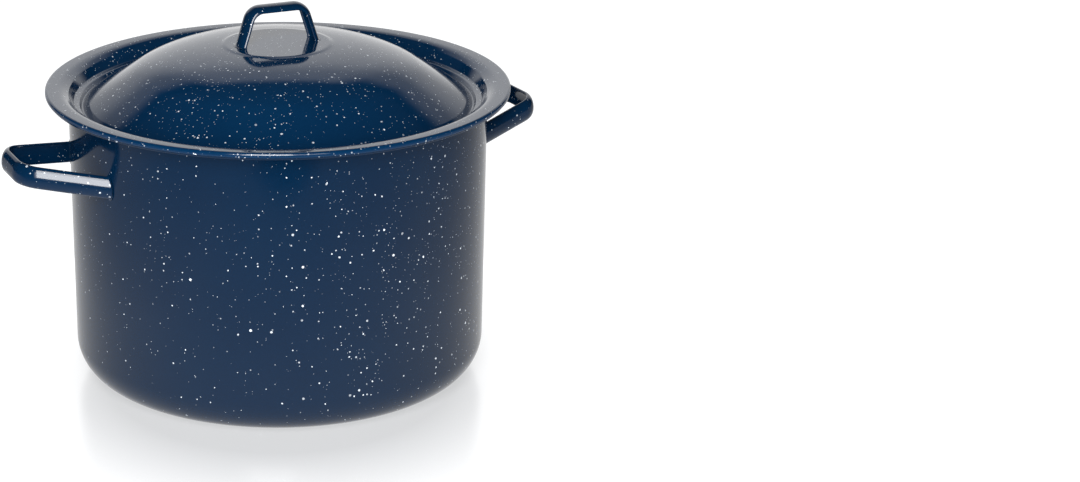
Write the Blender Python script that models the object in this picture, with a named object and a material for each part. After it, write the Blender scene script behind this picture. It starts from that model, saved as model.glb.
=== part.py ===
"""Water bath canner: enamelled steel stockpot, stepped dome lid and a wire rack for seven jars."""
import math

import bmesh
import bpy
from mathutils import Matrix, Vector

MM = 0.001

# Sheet and wire stock
SHEET = 1.2              # enamelled steel, coating included
WIRE_R = 2.25            # rack wire radius
GAP = 0.3                # clearance left between pieces that touch

# Pot
POT_R_LOW = 165.9        # outer wall radius just above the bottom corner
POT_R_TOP = 168.1        # outer wall radius just below the rim
POT_CORNER_R = 31.7      # bottom corner radius
POT_WALL_TOP = 230.0     # height where the wall starts to turn into the rim
POT_RIM_R = 184.7        # outer radius of the rim's turned-down edge
SEGMENTS = 56            # sides of the round shells

# Lid, heights measured from the surface the pot stands on
LID_LIP_R = 186.3        # outer radius of the turned-down lip
LID_LIP_Z = 236.3        # lower edge of the lip
LID_FLANGE_Z = 239.9     # highest point of the flange
LID_CONE_R = 112.0          # the dome runs out into a straight cone here
LID_SHOULDER = (151.5, 229.1)   # the cone ends here, at the gutter's inner side
LID_GUTTER = (156.6, 223.6)     # lowest point of the gutter inside the rim
PLATEAU_R = 41.0         # flat round seat of the knob handle
PLATEAU_Z = 274.0        # its upper face
DOME_BASE_Z = 179.43     # dome height is base + rise * (1 - (r / span)^3)
DOME_RISE = 94.97
DOME_SPAN = 190.81

# Pressed strap handles, a half-oval channel with its hollow side inwards
SIDE_STRAP = 17.5        # height of the side handle's strap
SIDE_BULGE = 3.8         # depth of its channel
SIDE_TIP = 221.6         # distance of the strap's edge from the pot's axis
SIDE_TIP_HALF = 26.5     # half length of the outer run
SIDE_FLARE = 20.2        # angle of each leg from straight out, in degrees
SIDE_CORNER = 19.7
SIDE_TILT = 9.5         # the loop rises towards its tip, in degrees
SIDE_TOP_Z = 197.2       # top edge of the strap at the wall
SIDE_OFFSET = 2.5        # each side handle stands this far round from the X axis, towards +Y, in degrees
LID_STRAP = 17.5
LID_BULGE = 4.0
LID_HANDLE_FOOT = 29.8   # half length of the loop at its feet
LID_HANDLE_TOP = 21.0    # half length of the loop at its top
LID_HANDLE_Z = 301.5     # height of the top run's edges
LID_CORNER = 9.5         # radius of the loop's two top corners
LID_TURN = -2.4          # the loose lid sits turned this far round, in degrees

# Rack
BASE_Z = SHEET + GAP + WIRE_R          # base rings
SPOKE_Z = BASE_Z + 2 * WIRE_R + GAP    # wires lying on the base rings
RACK_TOP_Z = 95.0                      # top run of the dividers
UPRIGHT_R = 147.0                      # outer uprights of the dividers
HOOP_R = UPRIGHT_R + 2 * WIRE_R + GAP  # hoops lying outside the uprights
LOW_HOOP_Z = 42.0
HIGH_HOOP_Z = 84.0
INNER_HOOP_R = 50.6                    # between the central jar and the others
BASE_RINGS = {"outer": 128.0, "middle": 84.0, "inner": 40.0}
WIRE_START = 33.0                      # inner end of the radial base wires
SPOKE_END = 133.0
BEND_R = 10.0
BAYS = 6
WIRE_SIDES = 6
RING_SEGMENTS = 36

# Swinging rack handles
EYE_HOLE_R = 3.6
EYE_R = EYE_HOLE_R + WIRE_R
EYE_ANGLE = 20.5                       # each eye's place on the hoop, from the X axis, in degrees
HANDLE_REACH = 126.0
HANDLE_CORNER = 18.0
EYE_SWEEP = 278.0                      # how far the wire is curled round the hoop, in degrees


def clear_scene():
    for old in list(bpy.data.objects):
        bpy.data.objects.remove(old, do_unlink=True)


def make_material(name, colour, roughness, metallic):
    material = bpy.data.materials.new(name)
    material.use_nodes = True
    shader = material.node_tree.nodes["Principled BSDF"]
    shader.inputs["Base Color"].default_value = (*colour, 1.0)
    shader.inputs["Roughness"].default_value = roughness
    shader.inputs["Metallic"].default_value = metallic
    return material


def add_object(name, bm, finish):
    """Turns a bmesh in millimetres into a smooth-shaded object in metres."""
    bmesh.ops.recalc_face_normals(bm, faces=bm.faces)
    bmesh.ops.scale(bm, vec=(MM, MM, MM), verts=bm.verts)
    mesh = bpy.data.meshes.new(name)
    bm.to_mesh(mesh)
    bm.free()
    mesh.shade_smooth()
    mesh.set_sharp_from_angle(angle=math.radians(40))
    mesh.materials.append(make_material(name, *finish))
    part = bpy.data.objects.new(name, mesh)
    bpy.context.scene.collection.objects.link(part)
    return part


def rounded_path(corners, step=20.0):
    """Polyline through (x, y, radius) corners, each corner with a radius becoming an arc."""
    path = []
    last = len(corners) - 1
    for index, (x, y, radius) in enumerate(corners):
        here = Vector((x, y))
        if radius <= 0 or index in (0, last):
            path.append(here)
            continue
        before = (Vector(corners[index - 1][:2]) - here).normalized()
        after = (Vector(corners[index + 1][:2]) - here).normalized()
        turn = math.pi - before.angle(after)
        reach = radius * math.tan(turn / 2)
        start = here + before * reach
        centre = here + (before + after).normalized() * radius / math.cos(turn / 2)
        side = 1 if before.x * after.y - before.y * after.x < 0 else -1
        count = max(2, math.ceil(math.degrees(turn) / step))
        for k in range(count + 1):
            spin = Matrix.Rotation(side * turn * k / count, 2)
            path.append(centre + spin @ (start - centre))
    return path


def offset_path(path, distance):
    """Path moved sideways, to the left of its direction, with mitred corners."""
    moved = []
    for index, here in enumerate(path):
        before = path[max(index - 1, 0)]
        after = path[min(index + 1, len(path) - 1)]
        enter = (here - before).normalized() if index > 0 else (after - here).normalized()
        leave = (after - here).normalized() if index < len(path) - 1 else enter
        normal = Vector((-enter.y - leave.y, enter.x + leave.x)).normalized()
        stretch = 1 / normal.dot(Vector((-enter.y, enter.x)))
        moved.append(here + normal * distance * stretch)
    return moved


def sheet_outline(path, thickness):
    """Closed outline of a bent sheet whose middle follows the path."""
    left = offset_path(path, thickness / 2)
    right = offset_path(path, -thickness / 2)
    return left, right


def revolved_sheet(name, path, finish):
    """Round shell from a middle line that starts on the Z axis and ends at a free edge."""
    upper, lower = sheet_outline(path, SHEET)
    outline = upper[1:] + list(reversed(lower[1:]))
    bm = bmesh.new()
    top_pole = bm.verts.new((0, 0, upper[0].y))
    low_pole = bm.verts.new((0, 0, lower[0].y))
    rings = []
    for point in outline:
        ring = []
        for k in range(SEGMENTS):
            angle = math.tau * k / SEGMENTS
            ring.append(bm.verts.new((point.x * math.cos(angle), point.x * math.sin(angle), point.y)))
        rings.append(ring)
    for first, second in zip(rings, rings[1:]):
        for k in range(SEGMENTS):
            n = (k + 1) % SEGMENTS
            bm.faces.new((first[k], first[n], second[n], second[k]))
    for k in range(SEGMENTS):
        n = (k + 1) % SEGMENTS
        bm.faces.new((top_pole, rings[0][n], rings[0][k]))
        bm.faces.new((low_pole, rings[-1][k], rings[-1][n]))
    return add_object(name, bm, finish)


def skin_sections(bm, sections, closed=False):
    """Joins equal loops of vertices into one skin, and caps its ends unless it is closed."""
    loops = [[bm.verts.new(point) for point in section] for section in sections]
    pairs = list(zip(loops, loops[1:]))
    if closed:
        pairs.append((loops[-1], loops[0]))
    size = len(loops[0])
    for first, second in pairs:
        for k in range(size):
            n = (k + 1) % size
            bm.faces.new((first[k], first[n], second[n], second[k]))
    if not closed:
        cap_section(bm, loops[0])
        cap_section(bm, loops[-1])


def cap_section(bm, loop):
    """Closes an end: a round wire with one face, a bent sheet with a strip of quads."""
    if len(loop) == WIRE_SIDES:
        bm.faces.new(loop)
        return
    half = len(loop) // 2
    for k in range(half - 1):
        bm.faces.new((loop[k], loop[k + 1], loop[-k - 2], loop[-k - 1]))


def tube(path, side, closed=False):
    """Round wire along a path; side is any direction square to the path's first stretch."""
    sections = []
    count = len(path)
    tangent = None
    for index, here in enumerate(path):
        before = path[index - 1] if closed or index > 0 else here
        after = path[(index + 1) % count] if closed or index < count - 1 else here
        heading = (after - before).normalized()
        if tangent is not None:
            side = tangent.rotation_difference(heading) @ side
        tangent = heading
        other = tangent.cross(side).normalized()
        ring = []
        for k in range(WIRE_SIDES):
            angle = math.tau * (k + 0.5) / WIRE_SIDES
            offset = side * math.cos(angle) + other * math.sin(angle)
            ring.append(here + offset * WIRE_R)
        sections.append(ring)
    bm = bmesh.new()
    skin_sections(bm, sections, closed)
    return bm


def channel_section(width, bulge, segments=8):
    """Half-oval pressed channel as (outwards, across) pairs, all round the sheet."""
    middle = []
    for k in range(segments + 1):
        angle = math.pi * (k / segments - 0.5)
        reach = width / 2 - SHEET / 2
        middle.append(Vector((bulge * math.cos(angle), reach * math.sin(angle))))
    outer = offset_path(middle, -SHEET / 2)
    inner = offset_path(middle, SHEET / 2)
    return outer + list(reversed(inner))


def channel_sweep(path, section, to_world):
    """Sections of a strap whose hollow side faces right of the path."""
    out = []
    for index, here in enumerate(path):
        before = path[max(index - 1, 0)]
        after = path[min(index + 1, len(path) - 1)]
        enter = (here - before).normalized() if index > 0 else (after - here).normalized()
        leave = (after - here).normalized() if index < len(path) - 1 else enter
        normal = Vector((-enter.y - leave.y, enter.x + leave.x)).normalized()
        stretch = 1 / normal.dot(Vector((-enter.y, enter.x)))
        ring = []
        for outwards, across in section:
            flat = here + normal * outwards * stretch
            ring.append(to_world(flat.x, flat.y, across))
        out.append(ring)
    return out


def wall_radius(z):
    """Outer radius of the pot's tapered wall."""
    share = (z - POT_CORNER_R) / (POT_WALL_TOP - POT_CORNER_R)
    return POT_R_LOW + (POT_R_TOP - POT_R_LOW) * share


def land_on_wall(ring, inner_ring):
    """Runs a leg's end section along the leg until it meets the pot's wall."""
    landed = []
    for point, behind in zip(ring, inner_ring):
        along = (point - behind).normalized()
        target = wall_radius(point.z) + GAP
        for _ in range(6):
            radius = math.hypot(point.x, point.y)
            slope = (along.x * point.x + along.y * point.y) / radius
            point = point + along * (target - radius) / slope
        landed.append(point)
    return landed


def dome_height(r):
    return DOME_BASE_Z + DOME_RISE * (1 - (r / DOME_SPAN) ** 3)


def build_pot(finish):
    half = SHEET / 2
    rim_z = LID_FLANGE_Z - SHEET - GAP - half
    corners = [
        (0.0, half, 0),
        (POT_R_LOW - half, half, POT_CORNER_R - half),
        (POT_R_TOP - half, POT_WALL_TOP + 4.6, 4.2),
        (POT_RIM_R - half, rim_z, 1.1),
        (POT_RIM_R - half, 234.4, 0),
    ]
    return revolved_sheet("pot_shell", rounded_path(corners, 15.0), finish)


def build_lid(finish):
    half = SHEET / 2
    dome = [(0.0, PLATEAU_Z - half, 0), (PLATEAU_R, PLATEAU_Z - half, 0)]
    dome += [(r, dome_height(r) - half, 0) for r in (47.0, 72.0, 96.0, LID_CONE_R)]
    edge = [
        (*LID_SHOULDER, 5.0),
        (*LID_GUTTER, 1.4),
        (159.4, 227.6, 1.3),
        (163.9, 228.2, 1.5),
        (167.8, 236.0, 1.8),
        (175.5, 239.3, 30.0),
        (LID_LIP_R - half, LID_FLANGE_Z - 0.1, 1.4),
        (LID_LIP_R - half, LID_LIP_Z, 0),
    ]
    return revolved_sheet("lid_shell", rounded_path(dome + edge, 30.0), finish)


def land_on_plateau(ring, inner_ring):
    """Runs a leg's end section along the leg down to the lid's flat top."""
    landed = []
    for point, behind in zip(ring, inner_ring):
        along = (point - behind).normalized()
        landed.append(point + along * (PLATEAU_Z + GAP - point.z) / along.z)
    return landed


def build_lid_handle(finish):
    corners = [
        (-LID_HANDLE_FOOT, PLATEAU_Z, 0),
        (-LID_HANDLE_TOP, LID_HANDLE_Z, LID_CORNER),
        (LID_HANDLE_TOP, LID_HANDLE_Z, LID_CORNER),
        (LID_HANDLE_FOOT, PLATEAU_Z, 0),
    ]
    section = channel_section(LID_STRAP, LID_BULGE)
    rings = channel_sweep(rounded_path(corners), section, lambda x, z, across: Vector((x, across, z)))
    rings[0] = land_on_plateau(rings[0], rings[1])
    rings[-1] = land_on_plateau(rings[-1], rings[-2])
    bm = bmesh.new()
    skin_sections(bm, rings)
    handle = add_object("lid_handle", bm, finish)
    handle.rotation_euler = (0, 0, math.radians(LID_TURN))
    return handle


def build_side_handle(name, side, finish):
    flare = math.tan(math.radians(SIDE_FLARE))
    wall_half = SIDE_TIP_HALF + (SIDE_TIP - 160.0) * flare
    corners = [
        (160.0, wall_half, 0),
        (SIDE_TIP, SIDE_TIP_HALF, SIDE_CORNER),
        (SIDE_TIP, -SIDE_TIP_HALF, SIDE_CORNER),
        (160.0, -wall_half, 0),
    ]
    tilt = math.radians(SIDE_TILT)
    hinge = wall_radius(SIDE_TOP_Z)

    def to_world(x, y, across):
        up = across - SIDE_STRAP / 2
        out = hinge + (x - hinge) * math.cos(tilt) - up * math.sin(tilt)
        return Vector((out, y, SIDE_TOP_Z + (x - hinge) * math.sin(tilt) + up * math.cos(tilt)))

    section = channel_section(SIDE_STRAP, SIDE_BULGE)
    rings = channel_sweep(rounded_path(corners, 16.0), section, to_world)
    rings[0] = land_on_wall(rings[0], rings[1])
    rings[-1] = land_on_wall(rings[-1], rings[-2])
    bm = bmesh.new()
    skin_sections(bm, rings)
    handle = add_object(name, bm, finish)
    offset = math.radians(SIDE_OFFSET)
    handle.rotation_euler = (0, 0, offset if side > 0 else math.pi - offset)
    return handle


def build_ring(name, radius, z, finish):
    path = []
    for k in range(RING_SEGMENTS):
        angle = math.tau * k / RING_SEGMENTS
        path.append(Vector((radius * math.cos(angle), radius * math.sin(angle), 0)))
    ring = add_object(name, tube(path, Vector((0, 0, 1)), closed=True), finish)
    ring.location = (0, 0, z * MM)
    return ring


def build_divider(name, angle, finish):
    """Radial wire: along the base, up outside the jars and back in over the top."""
    corners = [
        (WIRE_START, SPOKE_Z, 0),
        (UPRIGHT_R, SPOKE_Z, BEND_R),
        (UPRIGHT_R, RACK_TOP_Z, BEND_R),
        (INNER_HOOP_R - WIRE_R, RACK_TOP_Z, 0),
    ]
    path = [Vector((r, 0, z)) for r, z in rounded_path(corners, 23.0)]
    divider = add_object(name, tube(path, Vector((0, 1, 0))), finish)
    divider.rotation_euler = (0, 0, angle)
    return divider


def build_spoke(name, angle, finish):
    path = [Vector((WIRE_START, 0, SPOKE_Z)), Vector((SPOKE_END, 0, SPOKE_Z))]
    spoke = add_object(name, tube(path, Vector((0, 1, 0))), finish)
    spoke.rotation_euler = (0, 0, angle)
    return spoke


def handle_half(end, half):
    """Half of a handle lying flat: curled eye, arm and corner, from the wire's tip to the cross run."""
    count = 14
    points = []
    for k in range(count + 1):
        angle = math.radians(90 - EYE_SWEEP * (1 - k / count))
        points.append(Vector((EYE_R * math.cos(angle), end * half, EYE_R * math.sin(angle))))
    bend_x = HANDLE_CORNER - HANDLE_REACH
    bend_y = half - HANDLE_CORNER
    for k in range(7):
        turn = math.pi / 2 * k / 6
        x = bend_x - HANDLE_CORNER * math.sin(turn)
        y = bend_y + HANDLE_CORNER * math.cos(turn)
        points.append(Vector((x, end * y, EYE_R)))
    return points


def build_rack_handle(name, side, finish):
    """U of wire whose two curled ends hang on the high hoop; its origin is on the hinge line."""
    angle = math.radians(EYE_ANGLE)
    hinge_x = HOOP_R * math.cos(angle)
    half = HOOP_R * math.sin(angle)
    crossing = hinge_x - half / math.tan(math.pi / BAYS)
    lift = RACK_TOP_Z + 2 * WIRE_R + GAP - HIGH_HOOP_Z
    slope = math.atan2(lift, crossing) - math.asin((EYE_R - GAP) / math.hypot(lift, crossing))
    path = handle_half(1, half) + list(reversed(handle_half(-1, half)))
    bm = tube(path, Vector((0, 1, 0)))
    bmesh.ops.rotate(bm, cent=(0, 0, 0), matrix=Matrix.Rotation(slope, 3, "Y"), verts=bm.verts)
    if side < 0:
        bmesh.ops.rotate(bm, cent=(0, 0, 0), matrix=Matrix.Rotation(math.pi, 3, "Z"), verts=bm.verts)
    handle = add_object(name, bm, finish)
    handle.location = (side * hinge_x * MM, 0, HIGH_HOOP_Z * MM)
    return handle


def build_rack(finish):
    for label, radius in BASE_RINGS.items():
        build_ring("rack_base_ring_" + label, radius, BASE_Z, finish)
    build_ring("rack_hoop_low", HOOP_R, LOW_HOOP_Z, finish)
    build_ring("rack_hoop_high", HOOP_R, HIGH_HOOP_Z, finish)
    build_ring("rack_hoop_inner", INNER_HOOP_R, RACK_TOP_Z - 2 * WIRE_R - GAP, finish)
    for k in range(BAYS):
        turn = math.tau * k / BAYS
        build_spoke("rack_spoke_%d" % (k + 1), turn, finish)
        build_divider("rack_divider_%d" % (k + 1), turn + math.pi / BAYS, finish)
    build_rack_handle("rack_handle_right", 1, finish)
    build_rack_handle("rack_handle_left", -1, finish)


def build_canner():
    clear_scene()
    enamel = ((0.012, 0.030, 0.075), 0.15, 0.0)
    plated_wire = ((0.72, 0.72, 0.73), 0.25, 1.0)
    build_pot(enamel)
    build_side_handle("side_handle_right", 1, enamel)
    build_side_handle("side_handle_left", -1, enamel)
    build_lid(enamel)
    build_lid_handle(enamel)
    build_rack(plated_wire)


build_canner()
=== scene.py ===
"""Looks of the water bath canner: speckled navy enamel, strap handles and a plated wire rack."""

import math

import bmesh
import bpy
from mathutils import Matrix, Vector


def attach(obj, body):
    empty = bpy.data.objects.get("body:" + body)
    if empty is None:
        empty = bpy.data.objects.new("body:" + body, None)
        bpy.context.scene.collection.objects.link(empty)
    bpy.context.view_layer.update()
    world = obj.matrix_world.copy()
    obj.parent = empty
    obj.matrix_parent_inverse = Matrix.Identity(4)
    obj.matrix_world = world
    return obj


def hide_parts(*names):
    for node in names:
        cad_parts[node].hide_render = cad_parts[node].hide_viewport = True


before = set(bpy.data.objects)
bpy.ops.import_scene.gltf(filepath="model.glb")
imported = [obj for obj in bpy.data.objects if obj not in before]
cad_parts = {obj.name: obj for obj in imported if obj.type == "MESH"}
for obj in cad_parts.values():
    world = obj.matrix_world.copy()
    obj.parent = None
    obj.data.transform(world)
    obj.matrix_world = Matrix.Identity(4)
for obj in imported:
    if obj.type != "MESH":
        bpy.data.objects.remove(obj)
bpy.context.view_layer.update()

# Sizes are in millimetres, except the camera's and the stage's, which are in metres
MM = 0.001

# Sheet and wire stock
SHEET = 1.2
WIRE_R = 2.25
GAP = 0.3                # clearance between pieces that touch
SEGMENTS = 288           # sides of the round shells
WIRE_SIDES = 14
RING_SEGMENTS = 180      # stretches of the wire rings

# Camera, in a frame turned so that the viewer looks along +Y
VIEW_TURN = math.radians(23.1)
VIEW_ELEVATION = math.radians(19.354)
VIEW_ROLL = math.radians(-0.518)
VIEW_DISTANCE = 2.51904
VIEW_TARGET = Vector((-0.00725, 0.0, 0.10593))
VIEW_LENS = 102.89
VIEW_SHIFT = 0.25

# Stage, in the camera's frame
FRONT_GLOW = 14.0        # brightness of the soft box in front
WING_SHARE = 0.3         # how bright its wings are beside it
FLOOR_PAINTED_SHADOW = 0.56        # glow of the floor under the pot, lowered there as a painted shadow, 1 being white
FLOOR_SPREAD = 1.28      # how much faster the painted shadow under the pot fades sideways
FLOOR_HALF = 9.0
TABLE_HALF = 2.2
BACKDROP_Y = 2.3
BACKDROP_HALF = 2.9
BACKDROP_TOP = 3.2
WINGS_Y = -2.95
WINGS_HALF = 1.4
WINGS_TOP = 2.0

# Pot and lid
POT_R_LOW = 165.9
POT_R_TOP = 168.1
POT_CORNER_R = 31.7
POT_WALL_TOP = 230.0
POT_RIM_BEND = 4.6       # the rim's bend lies this far above the wall's top
POT_RIM_R = 184.7
POT_RIM_Z = 234.4        # lower edge of the rim's turned-down edge
LID_LIP_R = 186.3
LID_LIP_Z = 236.3
LID_FLANGE_Z = 239.9
LID_CONE_R = 112.0       # the dome runs out into a straight cone here
LID_STEPS = (            # radius, height and bend of the sheet's middle, from the cone outwards
    (151.5, 229.1, 6.0),     # shoulder
    (156.6, 223.6, 1.5),     # gutter
    (159.4, 227.6, 1.3),     # ledge, inner side
    (163.9, 228.2, 1.5),     # ledge, outer side
    (167.8, 236.0, 1.8),     # top of the riser
    (173.6, 239.5, 12.0),    # flange
)
PLATEAU_R = 41.0
PLATEAU_Z = 274.0
PLATEAU_FALL = 4.5       # width of the slope from the plateau to the dome
DOME_BASE_Z = 179.43     # dome height is base + rise * (1 - (r / span)^3)
DOME_RISE = 94.97
DOME_SPAN = 190.81
LID_TURN = math.radians(-2.4)

# Strap handles
SIDE_STRAP = 17.5
SIDE_BULGE = 3.8
SIDE_ROOT = 160.0        # the legs' middle lines start inside the wall
SIDE_TIP = 221.55
SIDE_TIP_HALF = 26.5
SIDE_FLARE = math.radians(20.2)
SIDE_CORNER = 19.7
SIDE_TILT = math.radians(9.5)
SIDE_TOP_Z = 197.2
SIDE_OFFSET = math.radians(2.5)
LID_STRAP = 17.5
LID_BULGE = 4.0
LID_HANDLE_FOOT = 29.8
LID_HANDLE_TOP = 21.0
LID_HANDLE_Z = 301.5
LID_CORNER = 9.5
LID_WELD = 1.5           # fillet radius of a strap's weld
SIDE_WELD = 1.6
WELD_SINK = 0.15         # how deep a strap's end sinks into the enamel
WELD_STEPS = (0.0, 0.03, 0.09, 0.19, 0.33, 0.5, 0.73, 1.0)

# Rack
BAYS = 6
BASE_Z = SHEET + GAP + WIRE_R
SPOKE_Z = BASE_Z + 2 * WIRE_R + GAP
RACK_TOP_Z = 95.0
UPRIGHT_R = 147.0
HOOP_R = UPRIGHT_R + 2 * WIRE_R + GAP
LOW_HOOP_Z = 42.0
HIGH_HOOP_Z = 84.0
INNER_HOOP_R = 50.6
INNER_HOOP_Z = RACK_TOP_Z - 2 * WIRE_R - GAP
BASE_RINGS = {"outer": 128.0, "middle": 84.0, "inner": 40.0}
WIRE_START = 33.0
SPOKE_MIDDLE = 80.0
SPOKE_END = 133.0
BEND_R = 10.0
EYE_R = 3.6 + WIRE_R
EYE_ANGLE = math.radians(20.5)
EYE_SWEEP = 278.0        # degrees of each eye's curl
EYE_STEPS = 40
HANDLE_REACH = 126.0
HANDLE_CORNER = 18.0
CORNER_STEPS = 14
BEAD = (1.6, 3.0)        # half thickness and half length of a weld bead
TOP_BEAD = (1.5, 2.6)

# Enamel
FLECKS = (               # spacing and radius in millimetres, share of the places taken
    (7.4, 1.15, 0.80),
    (4.8, 0.80, 0.85),
    (2.9, 0.48, 0.90),
)
FLECK_EDGE = 0.22        # width of a fleck's soft edge
FLECK_WHITE = (0.80, 0.86, 0.93, 1)
NAVY = ((0.0005, 0.0165, 0.052), (0.0013, 0.023, 0.066), (0.002, 0.028, 0.084))


# ---------------------------------------------------------------- shapes

def finish_mesh(name, bm, material, turn=0.0, smooth_angle=50):
    """A bmesh in millimetres, turned about the upright axis, becomes a smooth-shaded object in metres."""
    bmesh.ops.rotate(bm, cent=(0, 0, 0), matrix=Matrix.Rotation(turn, 3, "Z"), verts=bm.verts)
    bmesh.ops.recalc_face_normals(bm, faces=bm.faces)
    bmesh.ops.scale(bm, vec=(MM, MM, MM), verts=bm.verts)
    mesh = bpy.data.meshes.new(name)
    bm.to_mesh(mesh)
    bm.free()
    mesh.shade_smooth()
    mesh.set_sharp_from_angle(angle=math.radians(smooth_angle))
    mesh.materials.append(material)
    piece = bpy.data.objects.new(name, mesh)
    bpy.context.scene.collection.objects.link(piece)
    return piece


def place(piece, body, slot, *nodes):
    """Rides the piece on its body, in the place of its CAD nodes."""
    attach(piece, body)
    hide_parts(*nodes)
    return piece


def rounded_path(corners, step=6.0):
    """Polyline through (x, y, radius) corners, each corner with a radius becoming an arc."""
    path = []
    last = len(corners) - 1
    for index, (x, y, radius) in enumerate(corners):
        here = Vector((x, y))
        if radius <= 0 or index in (0, last):
            path.append(here)
            continue
        before = (Vector(corners[index - 1][:2]) - here).normalized()
        after = (Vector(corners[index + 1][:2]) - here).normalized()
        turn = math.pi - before.angle(after)
        start = here + before * radius * math.tan(turn / 2)
        centre = here + (before + after).normalized() * radius / math.cos(turn / 2)
        side = 1 if before.x * after.y - before.y * after.x < 0 else -1
        count = max(3, math.ceil(math.degrees(turn) / step))
        for k in range(count + 1):
            spin = Matrix.Rotation(side * turn * k / count, 2)
            path.append(centre + spin @ (start - centre))
    return path


def path_normals(path):
    """Left-hand mitred normal at each point of a flat path."""
    normals = []
    for index, here in enumerate(path):
        enter = (here - path[index - 1]).normalized() if index > 0 else (path[1] - here).normalized()
        leave = (path[index + 1] - here).normalized() if index < len(path) - 1 else enter
        normal = Vector((-enter.y - leave.y, enter.x + leave.x)).normalized()
        normals.append(normal / normal.dot(Vector((-enter.y, enter.x))))
    return normals


def offset_path(path, distance):
    return [point + normal * distance for point, normal in zip(path, path_normals(path))]


def sheet_loop(path, start_cap=True):
    """Outline of a bent sheet round the path, with round edges at its free ends."""
    half = SHEET / 2
    left = offset_path(path, half)
    right = offset_path(path, -half)

    def cap(end, inward, first_side):
        points = []
        for k in (1, 2, 3):
            angle = math.pi * k / 4
            points.append(end + (first_side * math.cos(angle) - inward * math.sin(angle)) * half)
        return points

    far = cap(path[-1], (path[-2] - path[-1]).normalized(), (left[-1] - path[-1]).normalized())
    loop = left + far + list(reversed(right))
    if start_cap:
        loop += cap(path[0], (path[1] - path[0]).normalized(), (right[0] - path[0]).normalized())
    return loop


def revolve(name, path, material, turn=0.0):
    """Round shell whose middle line starts on the axis and ends at a free edge."""
    loop = sheet_loop(path, start_cap=False)
    bm = bmesh.new()
    poles = (bm.verts.new((0, 0, loop[0].y)), bm.verts.new((0, 0, loop[-1].y)))
    rings = []
    for point in loop[1:-1]:
        ring = []
        for k in range(SEGMENTS):
            angle = math.tau * k / SEGMENTS
            ring.append(bm.verts.new((point.x * math.cos(angle), point.x * math.sin(angle), point.y)))
        rings.append(ring)
    for first, second in zip(rings, rings[1:]):
        for k in range(SEGMENTS):
            n = (k + 1) % SEGMENTS
            bm.faces.new((first[k], first[n], second[n], second[k]))
    for k in range(SEGMENTS):
        n = (k + 1) % SEGMENTS
        bm.faces.new((poles[0], rings[0][n], rings[0][k]))
        bm.faces.new((poles[1], rings[-1][k], rings[-1][n]))
    return finish_mesh(name, bm, material, turn)


def skin(bm, sections, closed=False):
    """Faces between sections with the same number of points, and over the two ends of an open run."""
    loops = [[bm.verts.new(point) for point in section] for section in sections]
    pairs = list(zip(loops, loops[1:]))
    if closed:
        pairs.append((loops[-1], loops[0]))
    size = len(loops[0])
    for first, second in pairs:
        for k in range(size):
            n = (k + 1) % size
            bm.faces.new((first[k], first[n], second[n], second[k]))
    if not closed:
        bm.faces.new(loops[0])
        bm.faces.new(loops[-1])


def channel_section(width, bulge, segments=28):
    """Half-oval channel section as (outwards, across, outwards normal) with round sheet edges."""
    middle = []
    for k in range(segments + 1):
        angle = math.pi * (k / segments - 0.5)
        middle.append(Vector((bulge * math.cos(angle), (width / 2 - SHEET / 2) * math.sin(angle))))
    loop = sheet_loop(middle)
    centres = middle + [middle[-1]] * 3 + list(reversed(middle)) + [middle[0]] * 3
    return [(point, (point - centre).normalized()) for point, centre in zip(loop, centres)]


def weld_flare(distance, radius):
    """How far a fillet of that radius stands out at a distance from the wall."""
    if distance >= radius:
        return 0.0
    return radius - math.sqrt(radius * radius - (radius - distance) ** 2)


def strap_sections(path, section, to_world):
    """Sections of a channel swept along a path, hollow side facing right of it."""
    sections = []
    for here, normal in zip(path, path_normals(path)):
        ring = []
        for point, _ in section:
            flat = here + normal * point.x
            ring.append(to_world(flat.x, flat.y, point.y))
        sections.append(ring)
    return sections


def tube_sections(path, side, closed=False):
    """Round sections along a path, turning with it; side is square to its first stretch."""
    sections = []
    count = len(path)
    tangent = None
    for index, here in enumerate(path):
        before = path[index - 1] if closed or index > 0 else here
        after = path[(index + 1) % count] if closed or index < count - 1 else here
        heading = (after - before).normalized()
        if tangent is not None:
            side = tangent.rotation_difference(heading) @ side
        tangent = heading
        other = tangent.cross(side).normalized()
        ring = []
        for k in range(WIRE_SIDES):
            angle = math.tau * k / WIRE_SIDES
            ring.append(here + (side * math.cos(angle) + other * math.sin(angle)) * WIRE_R)
        sections.append(ring)
    return sections


def rounded_ends(sections, path):
    """Adds a domed cut end to both ends of a wire."""
    def dome(ring, centre, outward):
        extra = []
        for angle in (30, 60, 82):
            shrink = math.cos(math.radians(angle))
            push = math.sin(math.radians(angle)) * WIRE_R * 0.5
            extra.append([centre + (point - centre) * shrink + outward * push for point in ring])
        return extra

    start = dome(sections[0], path[0], (path[0] - path[1]).normalized())
    end = dome(sections[-1], path[-1], (path[-1] - path[-2]).normalized())
    return list(reversed(start)) + sections + end


# ---------------------------------------------------------------- materials

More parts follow.
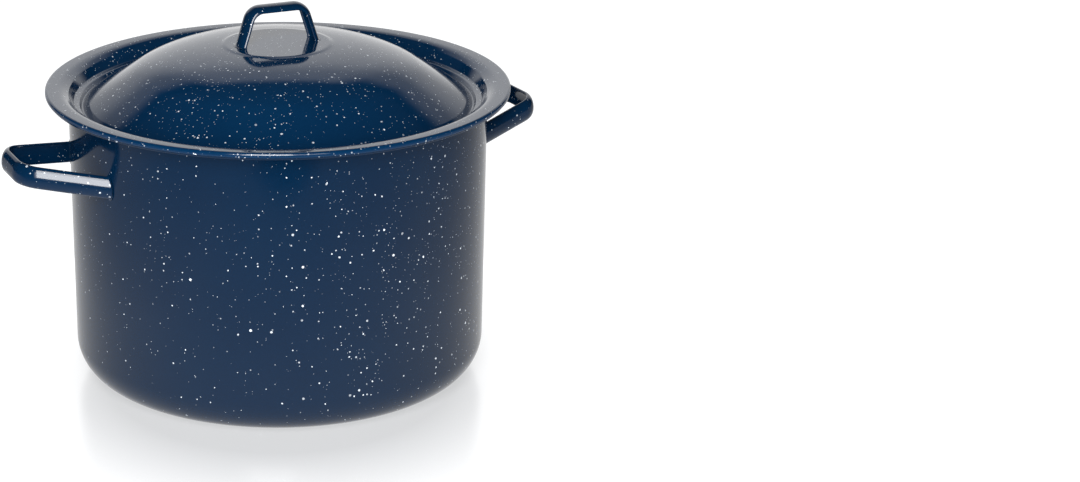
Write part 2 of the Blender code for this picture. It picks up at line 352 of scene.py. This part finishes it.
class Nodes:
    """Short ways of adding and joining shader nodes."""

    def __init__(self, name):
        self.material = bpy.data.materials.new(name)
        self.material.use_nodes = True
        self.tree = self.material.node_tree
        self.shader = self.tree.nodes["Principled BSDF"]

    def link(self, source, target):
        self.tree.links.new(source, target)

    def add(self, kind, **settings):
        node = self.tree.nodes.new(kind)
        for key, value in settings.items():
            setattr(node, key, value)
        return node

    def feed(self, socket, value):
        if hasattr(value, "is_output"):
            self.link(value, socket)
        else:
            socket.default_value = value

    def math(self, operation, a, b=0.0, c=0.0, clamp=False):
        node = self.add("ShaderNodeMath", operation=operation, use_clamp=clamp)
        for socket, value in zip(node.inputs, (a, b, c)):
            self.feed(socket, value)
        return node.outputs[0]

    def mix(self, factor, a, b):
        node = self.add("ShaderNodeMix", data_type="RGBA")
        self.feed(node.inputs[0], factor)
        self.feed(node.inputs[6], a)
        self.feed(node.inputs[7], b)
        return node.outputs[2]

    def noise(self, vector, scale, detail=2.0, roughness=0.5):
        node = self.add("ShaderNodeTexNoise")
        self.link(vector, node.inputs["Vector"])
        node.inputs["Scale"].default_value = scale
        node.inputs["Detail"].default_value = detail
        node.inputs["Roughness"].default_value = roughness
        return node.outputs["Fac"]

    def span(self, value, low, high, to_low=0.0, to_high=1.0):
        node = self.add("ShaderNodeMapRange", clamp=True)
        for socket, number in zip(node.inputs, (value, low, high, to_low, to_high)):
            self.feed(socket, number)
        return node.outputs[0]

    def length(self, a, b):
        squares = [self.math("MULTIPLY", value, value) for value in (a, b)]
        return self.math("SQRT", self.math("ADD", *squares))

    def bump(self, height, strength, distance):
        node = self.add("ShaderNodeBump")
        node.inputs["Strength"].default_value = strength
        node.inputs["Distance"].default_value = distance
        self.link(height, node.inputs["Height"])
        self.link(node.outputs[0], self.shader.inputs["Normal"])

    def coordinates(self, shift=(0.0, 0.0, 0.0)):
        source = self.add("ShaderNodeTexCoord")
        moved = self.add("ShaderNodeVectorMath", operation="ADD")
        self.link(source.outputs["Object"], moved.inputs[0])
        moved.inputs[1].default_value = shift
        return moved.outputs[0]

    def view_axes(self):
        """Object position, turned so that x runs right and y away from the viewer."""
        turned = self.add("ShaderNodeVectorRotate", rotation_type="Z_AXIS")
        self.link(self.coordinates(), turned.inputs["Vector"])
        turned.inputs["Angle"].default_value = VIEW_TURN
        split = self.add("ShaderNodeSeparateXYZ")
        self.link(turned.outputs[0], split.inputs[0])
        return split.outputs


def speckle_layer(nodes, vector, spacing_mm, radius_mm, share, crowd):
    """How white flecks of one size make each point, with at most one fleck to a cell of that spacing."""
    voronoi = nodes.add("ShaderNodeTexVoronoi", voronoi_dimensions="3D", feature="F1")
    nodes.link(vector, voronoi.inputs["Vector"])
    voronoi.inputs["Scale"].default_value = 1000.0 / spacing_mm
    chance = nodes.add("ShaderNodeSeparateColor")
    nodes.link(voronoi.outputs["Color"], chance.inputs[0])
    size = nodes.span(chance.outputs[0], 0.0, 1.0, 0.35, 1.0)
    limit = nodes.math("MULTIPLY", size, radius_mm / spacing_mm)
    edge = nodes.math("SUBTRACT", limit, voronoi.outputs["Distance"])
    mask = nodes.math("MULTIPLY", edge, spacing_mm / FLECK_EDGE, clamp=True)
    wanted = nodes.math("MULTIPLY", crowd, share)
    there = nodes.math("LESS_THAN", chance.outputs[1], wanted)
    shown = nodes.math("MULTIPLY", mask, there)
    brightness = nodes.span(chance.outputs[2], 0.0, 1.0, 0.30, 1.0)
    return nodes.math("MULTIPLY", shown, brightness)


def all_flecks(nodes, vector, pitch, density, uneven):
    """Flecks of every size, at slightly ragged places, in loose crowds."""
    warp = nodes.add("ShaderNodeTexNoise")
    nodes.link(vector, warp.inputs["Vector"])
    warp.inputs["Scale"].default_value = 420.0
    warp.inputs["Detail"].default_value = 1.0
    ragged = nodes.add("ShaderNodeVectorMath", operation="MULTIPLY_ADD")
    nodes.link(warp.outputs["Color"], ragged.inputs[0])
    ragged.inputs[1].default_value = (0.0007, 0.0007, 0.0007)
    nodes.link(vector, ragged.inputs[2])
    crowd = nodes.span(nodes.noise(vector, 22.0), 0.36, 0.62, 0.55, 1.0)
    if uneven:
        x, _, z = nodes.view_axes()
        crowd = nodes.math("MULTIPLY", crowd, nodes.span(x, -0.15, 0.15, 0.45, 1.5))
        crowd = nodes.math("MULTIPLY", crowd, nodes.span(z, 0.02, 0.12, 0.5, 1.05))
    flecks = None
    for spacing, radius, share in FLECKS:
        layer = speckle_layer(nodes, ragged.outputs[0], spacing * pitch, radius, share * density, crowd)
        flecks = nodes.math("MAXIMUM", flecks, layer) if flecks else layer
    return flecks


def enamel(name, shift, tone_and_painted_light, density, pitch=1.0, uneven=False):
    """Navy vitreous enamel with scattered white flecks under a glossy, slightly rippled surface; its navy
    is scaled per piece, as painted shade on the pot and painted light on the lid.
    """
    nodes = Nodes(name)
    vector = nodes.coordinates(shift)
    flecks = all_flecks(nodes, vector, pitch, density, uneven)
    # The navy shades are scaled per piece: darker on the pot as painted shade, lighter on the lid as
    # painted light.
    thin, thick, bright = [tuple(tone_and_painted_light * value for value in shade) + (1,) for shade in NAVY]
    deep = nodes.mix(nodes.noise(vector, 14.0, 3.0, 0.6), thin, thick)
    fine = nodes.noise(vector, 900.0, 2.0, 0.7)
    body = nodes.mix(nodes.span(fine, 0.35, 0.7, 0.0, 0.35), deep, bright)
    nodes.link(nodes.mix(flecks, body, FLECK_WHITE), nodes.shader.inputs["Base Color"])
    smears = nodes.noise(vector, 30.0, 4.0, 0.65)
    nodes.link(nodes.span(smears, 0.3, 0.75, 0.07, 0.13), nodes.shader.inputs["Roughness"])
    nodes.shader.inputs["IOR"].default_value = 1.5
    nodes.shader.inputs["Specular IOR Level"].default_value = 0.42
    height = nodes.math("ADD", nodes.noise(vector, 55.0), nodes.math("MULTIPLY", flecks, 0.12))
    nodes.bump(height, 0.10, 0.0006)
    return nodes.material


def plated_wire(name):
    """Bright zinc-plated steel wire with draw marks and dull patches from hot water."""
    nodes = Nodes(name)
    vector = nodes.coordinates((1.3, 0.4, 0.9))
    stain = nodes.noise(vector, 45.0, 5.0, 0.65)
    grain = nodes.noise(vector, 1600.0, 2.0, 0.6)
    clean = nodes.mix(grain, (0.56, 0.57, 0.58, 1), (0.76, 0.77, 0.79, 1))
    dull = nodes.span(stain, 0.52, 0.72, 0.0, 0.7)
    nodes.link(nodes.mix(dull, clean, (0.40, 0.39, 0.37, 1)), nodes.shader.inputs["Base Color"])
    nodes.shader.inputs["Metallic"].default_value = 1.0
    rough = nodes.math("ADD", nodes.span(stain, 0.4, 0.75, 0.14, 0.38), nodes.math("MULTIPLY", grain, 0.10))
    nodes.link(rough, nodes.shader.inputs["Roughness"])
    nodes.bump(grain, 0.12, 0.0002)
    return nodes.material


# ---------------------------------------------------------------- pieces

def wall_radius(z):
    """Outer radius of the slightly widening wall."""
    share = (z - POT_CORNER_R) / (POT_WALL_TOP - POT_CORNER_R)
    return POT_R_LOW + (POT_R_TOP - POT_R_LOW) * share


def dome_height(r):
    """Upper face of the lid's dome."""
    return DOME_BASE_Z + DOME_RISE * (1 - (r / DOME_SPAN) ** 3)


def make_pot(material):
    half = SHEET / 2
    corners = [
        (0.0, half, 0),
        (POT_R_LOW - half, half, POT_CORNER_R - half),
        (POT_R_TOP - half, POT_WALL_TOP + POT_RIM_BEND, 4.2),
        (POT_RIM_R - half, LID_FLANGE_Z - SHEET - GAP - half, 1.1),
        (POT_RIM_R - half, POT_RIM_Z + half, 0),
    ]
    piece = revolve("enamel_pot", rounded_path(corners), material)
    return place(piece, "pot", "pot_enamel", "pot_shell")


def make_lid(material):
    half = SHEET / 2
    seat = PLATEAU_Z - half
    path = [Vector((r, seat)) for r in (0.0, 20.0, PLATEAU_R - 1.5, PLATEAU_R - 1.0, PLATEAU_R - 0.5)]
    for k in range(1, 7):
        share = k / 6
        blend = share * share * (3 - 2 * share)
        r = PLATEAU_R + PLATEAU_FALL * share
        path.append(Vector((r, seat * (1 - blend) + (dome_height(r) - half) * blend)))
    path += [Vector((r, dome_height(r) - half)) for r in range(48, 108, 3)]
    edge = [
        (105.0, dome_height(105.0) - half, 0),
        (LID_CONE_R, dome_height(LID_CONE_R) - half, 60.0),
        *LID_STEPS,
        (LID_LIP_R - half, LID_FLANGE_Z - 0.1, 1.4),
        (LID_LIP_R - half, LID_LIP_Z + half, 0),
    ]
    path += rounded_path(edge, 8.0)[1:]
    piece = revolve("enamel_lid", path, material, LID_TURN)
    return place(piece, "lid", "lid_enamel", "lid_shell")


def weld_rings(ring, inner, section, weld, settle, lean_of):
    """Sections of a strap's end, swelling into the enamelled weld where settle() lands each point."""
    landed = []
    for point, behind in zip(ring, inner):
        along = (point - behind).normalized()
        landed.append((settle(point, along), along))
    rings = []
    for share in WELD_STEPS:
        step = share * weld
        extra = weld_flare(step, weld)
        shifted = []
        for (point, along), (_, out) in zip(landed, section):
            lean = lean_of(point, out)
            lean = lean - along * lean.dot(along)
            shifted.append(point - along * step + lean * extra)
        rings.append(shifted)
    return rings


def make_lid_handle(material):
    corners = [
        (-LID_HANDLE_FOOT, PLATEAU_Z, 0),
        (-LID_HANDLE_TOP, LID_HANDLE_Z, LID_CORNER),
        (LID_HANDLE_TOP, LID_HANDLE_Z, LID_CORNER),
        (LID_HANDLE_FOOT, PLATEAU_Z, 0),
    ]
    section = channel_section(LID_STRAP, LID_BULGE)
    path = rounded_path(corners, 5.0)
    middle = strap_sections(path, section, lambda x, z, across: Vector((x, across, z)))

    def settle(point, along):
        return point + along * (PLATEAU_Z - WELD_SINK - point.z) / along.z

    def lean_of(point, out):
        return Vector((out.x * (1 if point.x > 0 else -1), out.y, 0))

    left = weld_rings(middle[0], middle[1], section, LID_WELD, settle, lean_of)
    right = weld_rings(middle[-1], middle[-2], section, LID_WELD, settle, lean_of)
    bm = bmesh.new()
    skin(bm, left + middle[1:-1] + list(reversed(right)))
    piece = finish_mesh("enamel_lid_handle", bm, material, LID_TURN, 60)
    return place(piece, "lid", "handle_enamel", "lid_handle")


def make_side_handle(name, node, side, material):
    flare = math.tan(SIDE_FLARE)
    wall_half = SIDE_TIP_HALF + (SIDE_TIP - SIDE_ROOT) * flare
    corners = [
        (SIDE_ROOT, wall_half, 0),
        (SIDE_TIP, SIDE_TIP_HALF, SIDE_CORNER),
        (SIDE_TIP, -SIDE_TIP_HALF, SIDE_CORNER),
        (SIDE_ROOT, -wall_half, 0),
    ]
    hinge = wall_radius(SIDE_TOP_Z)

    def to_world(x, y, across):
        up = across - SIDE_STRAP / 2
        out = hinge + (x - hinge) * math.cos(SIDE_TILT) - up * math.sin(SIDE_TILT)
        return Vector((out, y, SIDE_TOP_Z + (x - hinge) * math.sin(SIDE_TILT) + up * math.cos(SIDE_TILT)))

    section = channel_section(SIDE_STRAP, SIDE_BULGE)
    path = rounded_path(corners, 4.0)
    middle = strap_sections(path, section, to_world)

    def settle(point, along):
        target = wall_radius(point.z) - WELD_SINK
        for _ in range(8):
            radius = math.hypot(point.x, point.y)
            outward = (along.x * point.x + along.y * point.y) / radius
            point = point + along * (target - radius) / outward
        return point

    def lean_of(point, out):
        return Vector((0, out.x * (1 if point.y > 0 else -1), out.y))

    near = weld_rings(middle[0], middle[1], section, SIDE_WELD, settle, lean_of)
    far = weld_rings(middle[-1], middle[-2], section, SIDE_WELD, settle, lean_of)
    bm = bmesh.new()
    skin(bm, near + middle[1:-1] + list(reversed(far)))
    turn = SIDE_OFFSET if side > 0 else math.pi - SIDE_OFFSET
    piece = finish_mesh(name, bm, material, turn, 60)
    return place(piece, "pot", "handle_enamel", node)


def make_ring(name, node, radius, z, material):
    circle = []
    for k in range(RING_SEGMENTS):
        angle = math.tau * k / RING_SEGMENTS
        circle.append(Vector((radius * math.cos(angle), radius * math.sin(angle), z)))
    bm = bmesh.new()
    skin(bm, tube_sections(circle, Vector((0, 0, 1)), closed=True), closed=True)
    return place(finish_mesh(name, bm, material), "rack", "rack_wire", node)


def make_radial_wire(name, node, flat_path, angle, material):
    path = [Vector((r, 0, z)) for r, z in flat_path]
    bm = bmesh.new()
    skin(bm, rounded_ends(tube_sections(path, Vector((0, 1, 0))), path))
    return place(finish_mesh(name, bm, material, angle), "rack", "rack_wire", node)


def add_bead(bm, centre, along, half_sizes):
    """A slightly uneven weld bead where two wires cross."""
    across, size = half_sizes
    along = along.normalized()
    up = Vector((0, 0, 1)) if abs(along.z) < 0.9 else Vector((1, 0, 0))
    side = along.cross(up).normalized()
    frame_matrix = Matrix((along * size, side * across, side.cross(along) * across)).transposed().to_4x4()
    frame_matrix.translation = centre
    bead = bmesh.ops.create_icosphere(bm, subdivisions=3, radius=1.0, matrix=frame_matrix)
    for vert in bead["verts"]:
        offset = vert.co - centre
        wobble = 1 + 0.05 * math.sin(offset.x * 2.1 + centre.y) + 0.05 * math.sin(offset.z * 2.7 + centre.x)
        vert.co = centre + offset * wobble


def make_welds(material):
    bm = bmesh.new()
    up = Vector((0, 0, 1))
    for k in range(2 * BAYS):
        angle = math.tau * k / (2 * BAYS)
        out = Vector((math.cos(angle), math.sin(angle), 0))
        turn = Vector((-out.y, out.x, 0))
        for radius in BASE_RINGS.values():
            centre = out * radius + up * (BASE_Z + SPOKE_Z) / 2
            add_bead(bm, centre, out + turn, BEAD)
            add_bead(bm, centre, out - turn, BEAD)
        if k % 2:
            for z in (LOW_HOOP_Z, HIGH_HOOP_Z):
                centre = out * (UPRIGHT_R + HOOP_R) / 2 + up * z
                add_bead(bm, centre, turn + up, BEAD)
                add_bead(bm, centre, turn - up, BEAD)
            add_bead(bm, out * INNER_HOOP_R + up * (INNER_HOOP_Z + RACK_TOP_Z) / 2, out + turn, TOP_BEAD)
    piece = finish_mesh("rack_weld_beads", bm, material)
    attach(piece, "rack")
    return piece


def handle_half(end, half):
    """Half of a rack handle lying flat: curled eye, arm and corner, from the wire's tip inwards."""
    points = []
    for k in range(EYE_STEPS + 1):
        angle = math.radians(90 - EYE_SWEEP * (1 - k / EYE_STEPS))
        points.append(Vector((EYE_R * math.cos(angle), end * half, EYE_R * math.sin(angle))))
    bend_x = HANDLE_CORNER - HANDLE_REACH
    bend_y = half - HANDLE_CORNER
    for k in range(CORNER_STEPS + 1):
        turn = math.pi / 2 * k / CORNER_STEPS
        x = bend_x - HANDLE_CORNER * math.sin(turn)
        points.append(Vector((x, end * (bend_y + HANDLE_CORNER * math.cos(turn)), EYE_R)))
    return points


def make_rack_handle(name, node, body, side, material):
    """Wire loop hung on the high hoop by its eyes, lying on the dividers' top runs."""
    hinge_x = HOOP_R * math.cos(EYE_ANGLE)
    half = HOOP_R * math.sin(EYE_ANGLE)
    crossing = hinge_x - half / math.tan(math.pi / BAYS)
    lift = RACK_TOP_Z + 2 * WIRE_R + GAP - HIGH_HOOP_Z
    slope = math.atan2(lift, crossing) - math.asin((EYE_R - GAP) / math.hypot(lift, crossing))
    path = handle_half(1, half) + list(reversed(handle_half(-1, half)))
    bm = bmesh.new()
    skin(bm, rounded_ends(tube_sections(path, Vector((0, 1, 0))), path))
    bmesh.ops.rotate(bm, cent=(0, 0, 0), matrix=Matrix.Rotation(slope, 3, "Y"), verts=bm.verts)
    if side < 0:
        bmesh.ops.rotate(bm, cent=(0, 0, 0), matrix=Matrix.Rotation(math.pi, 3, "Z"), verts=bm.verts)
    piece = finish_mesh(name, bm, material)
    piece.location = (side * hinge_x * MM, 0, HIGH_HOOP_Z * MM)
    return place(piece, body, "rack_wire", node)


def make_rack(material):
    for label, radius in BASE_RINGS.items():
        make_ring("wire_base_ring_" + label, "rack_base_ring_" + label, radius, BASE_Z, material)
    make_ring("wire_hoop_low", "rack_hoop_low", HOOP_R, LOW_HOOP_Z, material)
    make_ring("wire_hoop_high", "rack_hoop_high", HOOP_R, HIGH_HOOP_Z, material)
    make_ring("wire_hoop_inner", "rack_hoop_inner", INNER_HOOP_R, INNER_HOOP_Z, material)
    divider = rounded_path([
        (WIRE_START, SPOKE_Z, 0),
        (UPRIGHT_R, SPOKE_Z, BEND_R),
        (UPRIGHT_R, RACK_TOP_Z, BEND_R),
        (INNER_HOOP_R - WIRE_R, RACK_TOP_Z, 0),
    ])
    spoke = [(r, SPOKE_Z) for r in (WIRE_START, SPOKE_MIDDLE, SPOKE_END)]
    for k in range(BAYS):
        turn = math.tau * k / BAYS
        for kind, wire_path, angle in (("spoke", spoke, turn), ("divider", divider, turn + math.pi / BAYS)):
            label = f"{kind}_{k + 1}"
            make_radial_wire("wire_" + label, "rack_" + label, wire_path, angle, material)
    make_welds(material)
    make_rack_handle("wire_handle_right", "rack_handle_right", "right_rack_handle", 1, material)
    make_rack_handle("wire_handle_left", "rack_handle_left", "left_rack_handle", -1, material)


# ---------------------------------------------------------------- stage

def from_view(x, y, z):
    """A point given with the viewer looking along +Y, in the object's own frame."""
    return Matrix.Rotation(-VIEW_TURN, 3, "Z") @ Vector((x, y, z))


def make_camera():
    back = Vector((0, -math.cos(VIEW_ELEVATION), math.sin(VIEW_ELEVATION)))
    right = Vector((1, 0, 0))
    up = right.cross(-back)
    c, s = math.cos(VIEW_ROLL), math.sin(VIEW_ROLL)
    axes = (right * c + up * s, up * c - right * s, back)
    turned = Matrix([from_view(*axis) for axis in axes]).transposed().to_4x4()
    turned.translation = from_view(*(VIEW_TARGET + back * VIEW_DISTANCE))
    data = bpy.data.cameras.new("camera")
    data.sensor_width = 36.0
    data.lens = VIEW_LENS
    data.shift_x = VIEW_SHIFT
    data.clip_start = 0.05
    data.clip_end = 50.0
    camera = bpy.data.objects.new("camera", data)
    camera.matrix_world = turned
    bpy.context.scene.collection.objects.link(camera)
    bpy.context.scene.camera = camera


def area_light(name, position, target, width, height, radiance):
    """Soft box facing a point; radiance is the brightness of its face."""
    data = bpy.data.lights.new(name, "AREA")
    data.shape = "RECTANGLE"
    data.size = width
    data.size_y = height
    data.energy = radiance * math.pi * width * height
    light = bpy.data.objects.new(name, data)
    spot = from_view(*position)
    light.location = spot
    light.rotation_euler = (spot - from_view(*target)).to_track_quat("Z", "Y").to_euler()
    bpy.context.scene.collection.objects.link(light)


def stage_sheet(name, corners, material, camera=True, glossy=True, diffuse=True):
    """Flat sheet through four corners given with the viewer looking along +Y, in metres."""
    bm = bmesh.new()
    bm.faces.new([bm.verts.new(Vector(corner) / MM) for corner in corners])
    bmesh.ops.subdivide_edges(bm, edges=bm.edges, cuts=3, use_grid_fill=True)
    sheet = finish_mesh(name, bm, material, -VIEW_TURN)
    sheet.visible_camera = camera
    sheet.visible_glossy = glossy
    sheet.visible_diffuse = diffuse


def glow(nodes, strength):
    """White light of that strength and nothing else."""
    nodes.shader.inputs["Base Color"].default_value = (0, 0, 0, 1)
    nodes.shader.inputs["Specular IOR Level"].default_value = 0.0
    nodes.shader.inputs["Emission Color"].default_value = (1, 1, 1, 1)
    nodes.link(strength, nodes.shader.inputs["Emission Strength"])
    return nodes.material


def floor_material():
    """White glowing table top, faintly glossy by the pot, with its glow lowered round the pot as a painted
    shadow.
    """
    nodes = Nodes("floor_white_painted_shadow")
    x, y, _ = nodes.view_axes()
    reach = nodes.length(nodes.math("MULTIPLY", x, FLOOR_SPREAD), y)
    # Painted shadow: the floor's glow is lowered close round the pot and rises to white further out.
    light = nodes.span(reach, 0.19, 0.33, FLOOR_PAINTED_SHADOW, 1.0)
    shine = nodes.span(nodes.length(x, y), 0.20, 0.34, 0.9, 0.0)
    nodes.shader.inputs["Base Color"].default_value = (0.25, 0.25, 0.255, 1)
    nodes.shader.inputs["Roughness"].default_value = 0.22
    nodes.link(shine, nodes.shader.inputs["Specular IOR Level"])
    nodes.shader.inputs["Emission Color"].default_value = (0.985, 0.993, 1.0, 1)
    nodes.link(light, nodes.shader.inputs["Emission Strength"])
    return nodes.material


def table_glow_material():
    """What the pot mirrors of the table: bright close by, darker further off and at one spot in front."""
    nodes = Nodes("table_glow")
    x, y, _ = nodes.view_axes()
    glow_level = nodes.span(y, -0.76, -0.16, 0.15, 0.76)
    left = nodes.span(x, -0.60, -0.30, 0.50, 0.95)
    right = nodes.span(x, 0.30, 0.75, 1.0, 0.45)
    across = nodes.math("MULTIPLY", nodes.math("SUBTRACT", x, 0.05), 0.35)
    along = nodes.math("ADD", y, 0.725)
    spot = nodes.span(nodes.length(across, along), 0.045, 0.085, 0.0, 1.0)
    for level in (left, right, spot):
        glow_level = nodes.math("MULTIPLY", glow_level, level)
    return glow(nodes, glow_level)


def backdrop_material():
    """Bright paper behind the pot: brightest in the middle, with lower and dimmer sides."""
    nodes = Nodes("backdrop_glow")
    x, _, z = nodes.view_axes()
    off = nodes.math("ABSOLUTE", x)
    middle = nodes.span(z, 1.65, 2.15, 1.25, 0.85)
    middle = nodes.math("MULTIPLY", middle, nodes.span(z, 2.75, 3.15, 1.0, 0.0))
    sides = nodes.span(z, 1.25, 1.75, 0.90, 0.50)
    sides = nodes.math("MULTIPLY", sides, nodes.span(z, 2.2, 2.75, 1.0, 0.0))
    inner = nodes.span(off, 0.65, 1.05, 1.0, 0.0)
    lift = nodes.span(z, 0.9, 1.4, 0.0, 0.6)
    outer = nodes.span(nodes.math("SUBTRACT", off, lift), 1.5, 2.05, 1.0, 0.0)
    blend = nodes.math("ADD", nodes.math("MULTIPLY", middle, inner),
                       nodes.math("MULTIPLY", sides, nodes.math("SUBTRACT", outer, inner)))
    return glow(nodes, blend)


def wings_material():
    """Dim wings of the soft box, which end in a soft edge."""
    nodes = Nodes("front_box_glow")
    x = nodes.view_axes()[0]
    edge = nodes.span(nodes.math("ABSOLUTE", x), 1.15, 1.35, 1.0, 0.0)
    return glow(nodes, nodes.math("MULTIPLY", edge, FRONT_GLOW * WING_SHARE))


def level_corners(half, z):
    return [(-half, -half, z), (half, -half, z), (half, half, z), (-half, half, z)]


def make_stage():
    stage_sheet("floor", level_corners(FLOOR_HALF, -0.0003), floor_material(), glossy=False)
    table = level_corners(TABLE_HALF, -0.0006)
    stage_sheet("floor_reflected", table, table_glow_material(), camera=False, diffuse=False)
    x, y, top = BACKDROP_HALF, BACKDROP_Y, BACKDROP_TOP
    wall = [(-x, y, 0), (x, y, 0), (x, y, top), (-x, y, top)]
    stage_sheet("backdrop", wall, backdrop_material(), camera=False)
    x, y, top = WINGS_HALF, WINGS_Y, WINGS_TOP
    wings = [(-x, y, 0.05), (-x, y, top), (x, y, top), (x, y, 0.05)]
    stage_sheet("front_box_wings", wings, wings_material(), camera=False, diffuse=False)


def make_world():
    """White to the eye, and a dim fill to everything else."""
    world = bpy.data.worlds.new("studio")
    bpy.context.scene.world = world
    world.use_nodes = True
    tree = world.node_tree
    path = tree.nodes.new("ShaderNodeLightPath")
    seen = tree.nodes.new("ShaderNodeMapRange")
    tree.links.new(path.outputs["Is Camera Ray"], seen.inputs[0])
    seen.inputs[3].default_value = 0.03
    seen.inputs[4].default_value = 1.0
    shade = tree.nodes["Background"]
    shade.inputs[0].default_value = (1, 1, 1, 1)
    tree.links.new(seen.outputs[0], shade.inputs[1])


def make_lights():
    make_world()
    area_light("front_box", (-0.25, -2.9, 1.85), (-0.25, 0, 1.85), 1.2, 3.6, FRONT_GLOW)
    bpy.context.scene.view_settings.view_transform = "Standard"


make_camera()
make_stage()
make_lights()
# The pot's navy is darkened to 0.61 as painted shade, and the lid's is raised to 1.08 as painted light.
pot_enamel = enamel("enamel_navy_pot_painted_shade", (0.3, 0.7, 0.1), 0.61, 0.8, uneven=True)
lid_enamel = enamel("enamel_navy_lid_painted_light", (2.1, 1.4, 0.6), 1.08, 1.25, pitch=0.92)
strap_enamel = enamel("enamel_navy_straps", (4.2, 0.3, 1.9), 0.7, 1.1)
wire = plated_wire("wire_plated")
make_pot(pot_enamel)
make_side_handle("enamel_handle_right", "side_handle_right", 1, strap_enamel)
make_side_handle("enamel_handle_left", "side_handle_left", -1, strap_enamel)
make_lid(lid_enamel)
make_lid_handle(strap_enamel)
make_rack(wire)
